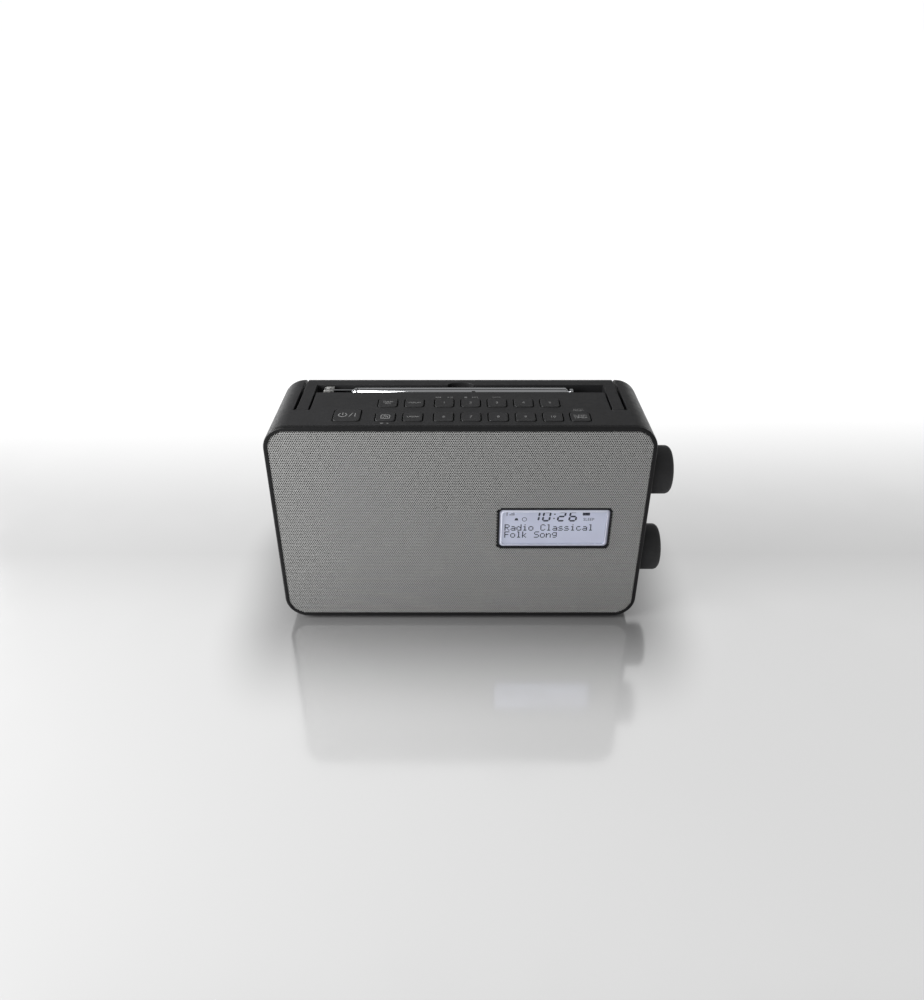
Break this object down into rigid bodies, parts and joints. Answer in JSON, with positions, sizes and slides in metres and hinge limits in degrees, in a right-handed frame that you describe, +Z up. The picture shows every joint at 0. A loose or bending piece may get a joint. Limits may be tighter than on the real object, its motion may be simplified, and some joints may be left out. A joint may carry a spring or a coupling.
{
  "type": "tabletop radio",
  "caption": "Tabletop radio with a perforated front, lit display, preset keys, side knobs, a fold-down handle, a telescopic aerial and a battery bay.",
  "frame": {"origin": "middle of the bounding box in X and Y, on the surface that the feet rest on", "axes": "+X to the right seen from the front, towards the knobs; +Y from the front to the rear; +Z up"},
  "size_m": [0.2736, 0.088, 0.1597],
  "materials": {
    "charcoal_plastic": "fine textured charcoal moulding",
    "black_gloss": "semi-gloss black",
    "black_matt": "matt black",
    "key_plastic": "satin charcoal, white legends",
    "knob_plastic": "matt dark grey",
    "grille_metal": "silver-grey perforated sheet",
    "chrome": "polished plating",
    "steel": "plain",
    "magnet_iron": "sintered ferrite and iron",
    "clear_lens": "clear lens",
    "lcd_glass": "back-lit liquid crystal panel",
    "white_plastic": "white light box",
    "circuit_board": "green laminate",
    "rubber": "soft rubber"
  },
  "bodies": {
    "radio": {"cabinet_shell": "charcoal_plastic", "rear_cover": "charcoal_plastic", "front_frame": "black_gloss", "battery_box": "black_matt", "speaker_cone": "black_matt", "mains_inlet": "black_matt", "earphone_jack": "black_matt", "line_in_jack": "black_matt", "front_grille": "grille_metal", "antenna_base": "chrome", "handle_pin_left": "steel", "handle_pin_right": "steel", "volume_control": "steel", "tuning_control": "steel", "battery_contact_left": "steel", "battery_contact_right": "steel", "cover_screw_lower_left": "steel", "cover_screw_lower_right": "steel", "cover_screw_upper_left": "steel", "cover_screw_upper_right": "steel", "speaker_basket": "steel", "speaker_magnet": "magnet_iron", "mains_transformer": "magnet_iron", "display_window": "clear_lens", "lcd_panel": "lcd_glass", "lcd_holder": "white_plastic", "main_board": "circuit_board", "key_board": "circuit_board", "foot_front_left": "rubber", "foot_front_right": "rubber", "foot_rear_left": "rubber", "foot_rear_right": "rubber"},
    "key_band": {"key_band": "key_plastic"},
    "key_menu": {"key_menu": "key_plastic"},
    "key_source": {"key_source": "key_plastic"},
    "key_tune": {"key_tune": "key_plastic"},
    "key_sleep": {"key_sleep": "key_plastic"},
    "key_preset_01": {"key_preset_01": "key_plastic"},
    "key_preset_02": {"key_preset_02": "key_plastic"},
    "key_preset_03": {"key_preset_03": "key_plastic"},
    "key_preset_04": {"key_preset_04": "key_plastic"},
    "key_preset_05": {"key_preset_05": "key_plastic"},
    "key_preset_06": {"key_preset_06": "key_plastic"},
    "key_preset_07": {"key_preset_07": "key_plastic"},
    "key_preset_08": {"key_preset_08": "key_plastic"},
    "key_preset_09": {"key_preset_09": "key_plastic"},
    "key_preset_10": {"key_preset_10": "key_plastic"},
    "key_power": {"key_power": "key_plastic"},
    "volume_dial": {"volume_knob": "knob_plastic", "volume_shaft": "steel"},
    "tuning_dial": {"tuning_knob": "knob_plastic", "tuning_shaft": "steel"},
    "handle": {"handle": "charcoal_plastic"},
    "aerial_stage_1": {"antenna_tongue": "chrome", "antenna_tube_1": "chrome"},
    "aerial_stage_2": {"antenna_tube_2": "chrome"},
    "aerial_stage_3": {"antenna_tube_3": "chrome"},
    "aerial_stage_4": {"antenna_tube_4": "chrome"},
    "aerial_stage_5": {"antenna_rod": "chrome"},
    "battery_door": {"battery_door": "charcoal_plastic"}
  },
  "joints": [
    {"name": "key_band_press", "type": "slide", "parent": "radio", "child": "key_band", "axis": [0, 0, -1], "range_m": [0, 0.0008], "stiffness_N_per_m": 400, "springref_m": -0.0006},
    {"name": "key_menu_press", "type": "slide", "parent": "radio", "child": "key_menu", "axis": [0, 0, -1], "range_m": [0, 0.0008], "stiffness_N_per_m": 400, "springref_m": -0.0006},
    {"name": "key_source_press", "type": "slide", "parent": "radio", "child": "key_source", "axis": [0, 0, -1], "range_m": [0, 0.0008], "stiffness_N_per_m": 400, "springref_m": -0.0006},
    {"name": "key_tune_press", "type": "slide", "parent": "radio", "child": "key_tune", "axis": [0, 0, -1], "range_m": [0, 0.0008], "stiffness_N_per_m": 400, "springref_m": -0.0006},
    {"name": "key_sleep_press", "type": "slide", "parent": "radio", "child": "key_sleep", "axis": [0, 0, -1], "range_m": [0, 0.0008], "stiffness_N_per_m": 400, "springref_m": -0.0006},
    {"name": "key_preset_01_press", "type": "slide", "parent": "radio", "child": "key_preset_01", "axis": [0, 0, -1], "range_m": [0, 0.0008], "stiffness_N_per_m": 400, "springref_m": -0.0006},
    {"name": "key_preset_02_press", "type": "slide", "parent": "radio", "child": "key_preset_02", "axis": [0, 0, -1], "range_m": [0, 0.0008], "stiffness_N_per_m": 400, "springref_m": -0.0006},
    {"name": "key_preset_03_press", "type": "slide", "parent": "radio", "child": "key_preset_03", "axis": [0, 0, -1], "range_m": [0, 0.0008], "stiffness_N_per_m": 400, "springref_m": -0.0006},
    {"name": "key_preset_04_press", "type": "slide", "parent": "radio", "child": "key_preset_04", "axis": [0, 0, -1], "range_m": [0, 0.0008], "stiffness_N_per_m": 400, "springref_m": -0.0006},
    {"name": "key_preset_05_press", "type": "slide", "parent": "radio", "child": "key_preset_05", "axis": [0, 0, -1], "range_m": [0, 0.0008], "stiffness_N_per_m": 400, "springref_m": -0.0006},
    {"name": "key_preset_06_press", "type": "slide", "parent": "radio", "child": "key_preset_06", "axis": [0, 0, -1], "range_m": [0, 0.0008], "stiffness_N_per_m": 400, "springref_m": -0.0006},
    {"name": "key_preset_07_press", "type": "slide", "parent": "radio", "child": "key_preset_07", "axis": [0, 0, -1], "range_m": [0, 0.0008], "stiffness_N_per_m": 400, "springref_m": -0.0006},
    {"name": "key_preset_08_press", "type": "slide", "parent": "radio", "child": "key_preset_08", "axis": [0, 0, -1], "range_m": [0, 0.0008], "stiffness_N_per_m": 400, "springref_m": -0.0006},
    {"name": "key_preset_09_press", "type": "slide", "parent": "radio", "child": "key_preset_09", "axis": [0, 0, -1], "range_m": [0, 0.0008], "stiffness_N_per_m": 400, "springref_m": -0.0006},
    {"name": "key_preset_10_press", "type": "slide", "parent": "radio", "child": "key_preset_10", "axis": [0, 0, -1], "range_m": [0, 0.0008], "stiffness_N_per_m": 400, "springref_m": -0.0006},
    {"name": "key_power_press", "type": "slide", "parent": "radio", "child": "key_power", "axis": [0, 0, -1], "range_m": [0, 0.0008], "stiffness_N_per_m": 400, "springref_m": -0.0006},
    {"name": "volume_turn", "type": "hinge", "parent": "radio", "child": "volume_dial", "pos_m": [0.12095, -0.018, 0.1137], "axis": [1, 0, 0], "range_deg": [-150, 150]},
    {"name": "tuning_turn", "type": "hinge", "parent": "radio", "child": "tuning_dial", "pos_m": [0.12095, -0.018, 0.0483], "axis": [1, 0, 0], "continuous": true},
    {"name": "handle_swing", "type": "hinge", "parent": "radio", "child": "handle", "pos_m": [-0.00835, -0.008, 0.15], "axis": [1, 0, 0], "range_deg": [0, 90]},
    {"name": "aerial_lift", "type": "hinge", "parent": "radio", "child": "aerial_stage_1", "pos_m": [-0.10095, 0.0195, 0.1555], "axis": [0, -1, 0], "range_deg": [0, 90]},
    {"name": "aerial_slide_2", "type": "slide", "parent": "aerial_stage_1", "child": "aerial_stage_2", "axis": [1, 0, 0], "range_m": [0, 0.125]},
    {"name": "aerial_slide_3", "type": "slide", "parent": "aerial_stage_2", "child": "aerial_stage_3", "axis": [1, 0, 0], "range_m": [0, 0.125]},
    {"name": "aerial_slide_4", "type": "slide", "parent": "aerial_stage_3", "child": "aerial_stage_4", "axis": [1, 0, 0], "range_m": [0, 0.125]},
    {"name": "aerial_slide_5", "type": "slide", "parent": "aerial_stage_4", "child": "aerial_stage_5", "axis": [1, 0, 0], "range_m": [0, 0.125]},
    {"name": "battery_door_open", "type": "hinge", "parent": "radio", "child": "battery_door", "pos_m": [-0.00835, 0.0432, 0.0189], "axis": [-1, 0, 0], "range_deg": [0, 90]}
  ],
  "couplings": [
    {"joint": "aerial_slide_2", "follows": "aerial_lift", "m_per_rad": 0.079577},
    {"joint": "aerial_slide_3", "follows": "aerial_lift", "m_per_rad": 0.079577},
    {"joint": "aerial_slide_4", "follows": "aerial_lift", "m_per_rad": 0.079577},
    {"joint": "aerial_slide_5", "follows": "aerial_lift", "m_per_rad": 0.079577}
  ]
}
